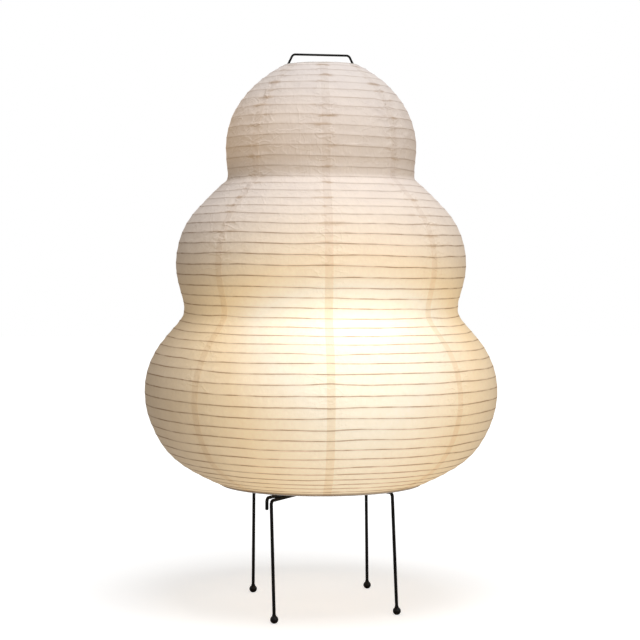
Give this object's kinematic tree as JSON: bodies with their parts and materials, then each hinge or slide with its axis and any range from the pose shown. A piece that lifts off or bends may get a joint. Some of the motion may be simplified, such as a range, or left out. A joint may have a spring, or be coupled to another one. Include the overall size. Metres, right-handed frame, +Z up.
{
  "type": "paper lantern floor lamp",
  "caption": "Floor lamp: a lobed paper lantern with a spiral rib, held open by a tall wire frame with a handle, on thin black wire legs with ball feet.",
  "frame": {"origin": "on the floor under the middle of the lantern", "axes": "+Z up along the lantern's axis, -Y towards the viewer of the picture"},
  "size_m": [0.3836, 0.3836, 0.6],
  "materials": {
    "lantern_paper": "thin white paper, lit from inside",
    "rim_tape": "paper tape",
    "rib_wire": "split bamboo, planed",
    "rim_wire": "steel wire",
    "black_wire": "satin black lacquer",
    "handle_wire": "satin black lacquer",
    "foot_ball": "satin black lacquer",
    "bracket_steel": "satin black lacquer",
    "fastener_steel": "zinc plated",
    "holder_plastic": "matt black phenolic",
    "inlet_plastic": "matt black",
    "holder_ceramic": "glazed white",
    "brass": "rolled brass",
    "cap_metal": "rolled, nickel bright",
    "cap_insulator": "black glass",
    "tip_metal": "bright",
    "bulb_body": "white moulded plastic",
    "light_board": "white lacquered board",
    "light_chips": "phosphor yellow",
    "driver_board": "green board",
    "bulb_globe": "frosted, lit"
  },
  "bodies": {
    "base": {"long_leg_wire": "black_wire", "short_leg_wire": "black_wire", "front_left_foot": "foot_ball", "front_right_foot": "foot_ball", "back_left_foot": "foot_ball", "back_right_foot": "foot_ball", "front_rim_hook": "black_wire", "back_rim_hook": "black_wire", "bracket": "bracket_steel", "left_stretcher_socket": "bracket_steel", "right_stretcher_socket": "bracket_steel", "holder_base": "holder_plastic", "cord_inlet": "inlet_plastic", "holder_body": "holder_plastic", "contact_carrier": "holder_ceramic", "terminal_screws": "brass", "screw_shell": "brass", "centre_contact": "brass", "holder_screws": "fastener_steel", "holder_washers": "fastener_steel", "holder_nuts": "fastener_steel"},
    "stretcher": {"stretcher": "handle_wire"},
    "shade": {"paper_gore_1": "lantern_paper", "paper_gore_2": "lantern_paper", "paper_gore_3": "lantern_paper", "paper_gore_4": "lantern_paper", "paper_gore_5": "lantern_paper", "paper_gore_6": "lantern_paper", "paper_gore_7": "lantern_paper", "paper_gore_8": "lantern_paper", "rib_spiral": "rib_wire", "top_rim_ring": "rim_wire", "bottom_rim_ring": "rim_wire", "top_rim_tape": "rim_tape", "bottom_rim_tape": "rim_tape"},
    "bulb": {"bulb_cap": "cap_metal", "bulb_insulator": "cap_insulator", "bulb_tip": "tip_metal", "bulb_housing": "bulb_body", "light_board": "light_board", "light_chips": "light_chips", "driver_board": "driver_board", "bulb_globe": "bulb_globe"}
  },
  "joints": [
    {"name": "stretcher_lift", "type": "slide", "parent": "base", "child": "stretcher", "axis": [0, 0, 1], "range_m": [0, 0.03]},
    {"name": "shade_lift", "type": "slide", "parent": "stretcher", "child": "shade", "axis": [0, 0, 1], "range_m": [0, 0.49]},
    {"name": "bulb_turn", "type": "hinge", "parent": "base", "child": "bulb", "pos_m": [0, 0, 0.2], "axis": [0, 0, 1], "range_deg": [0, 1080]}
  ]
}
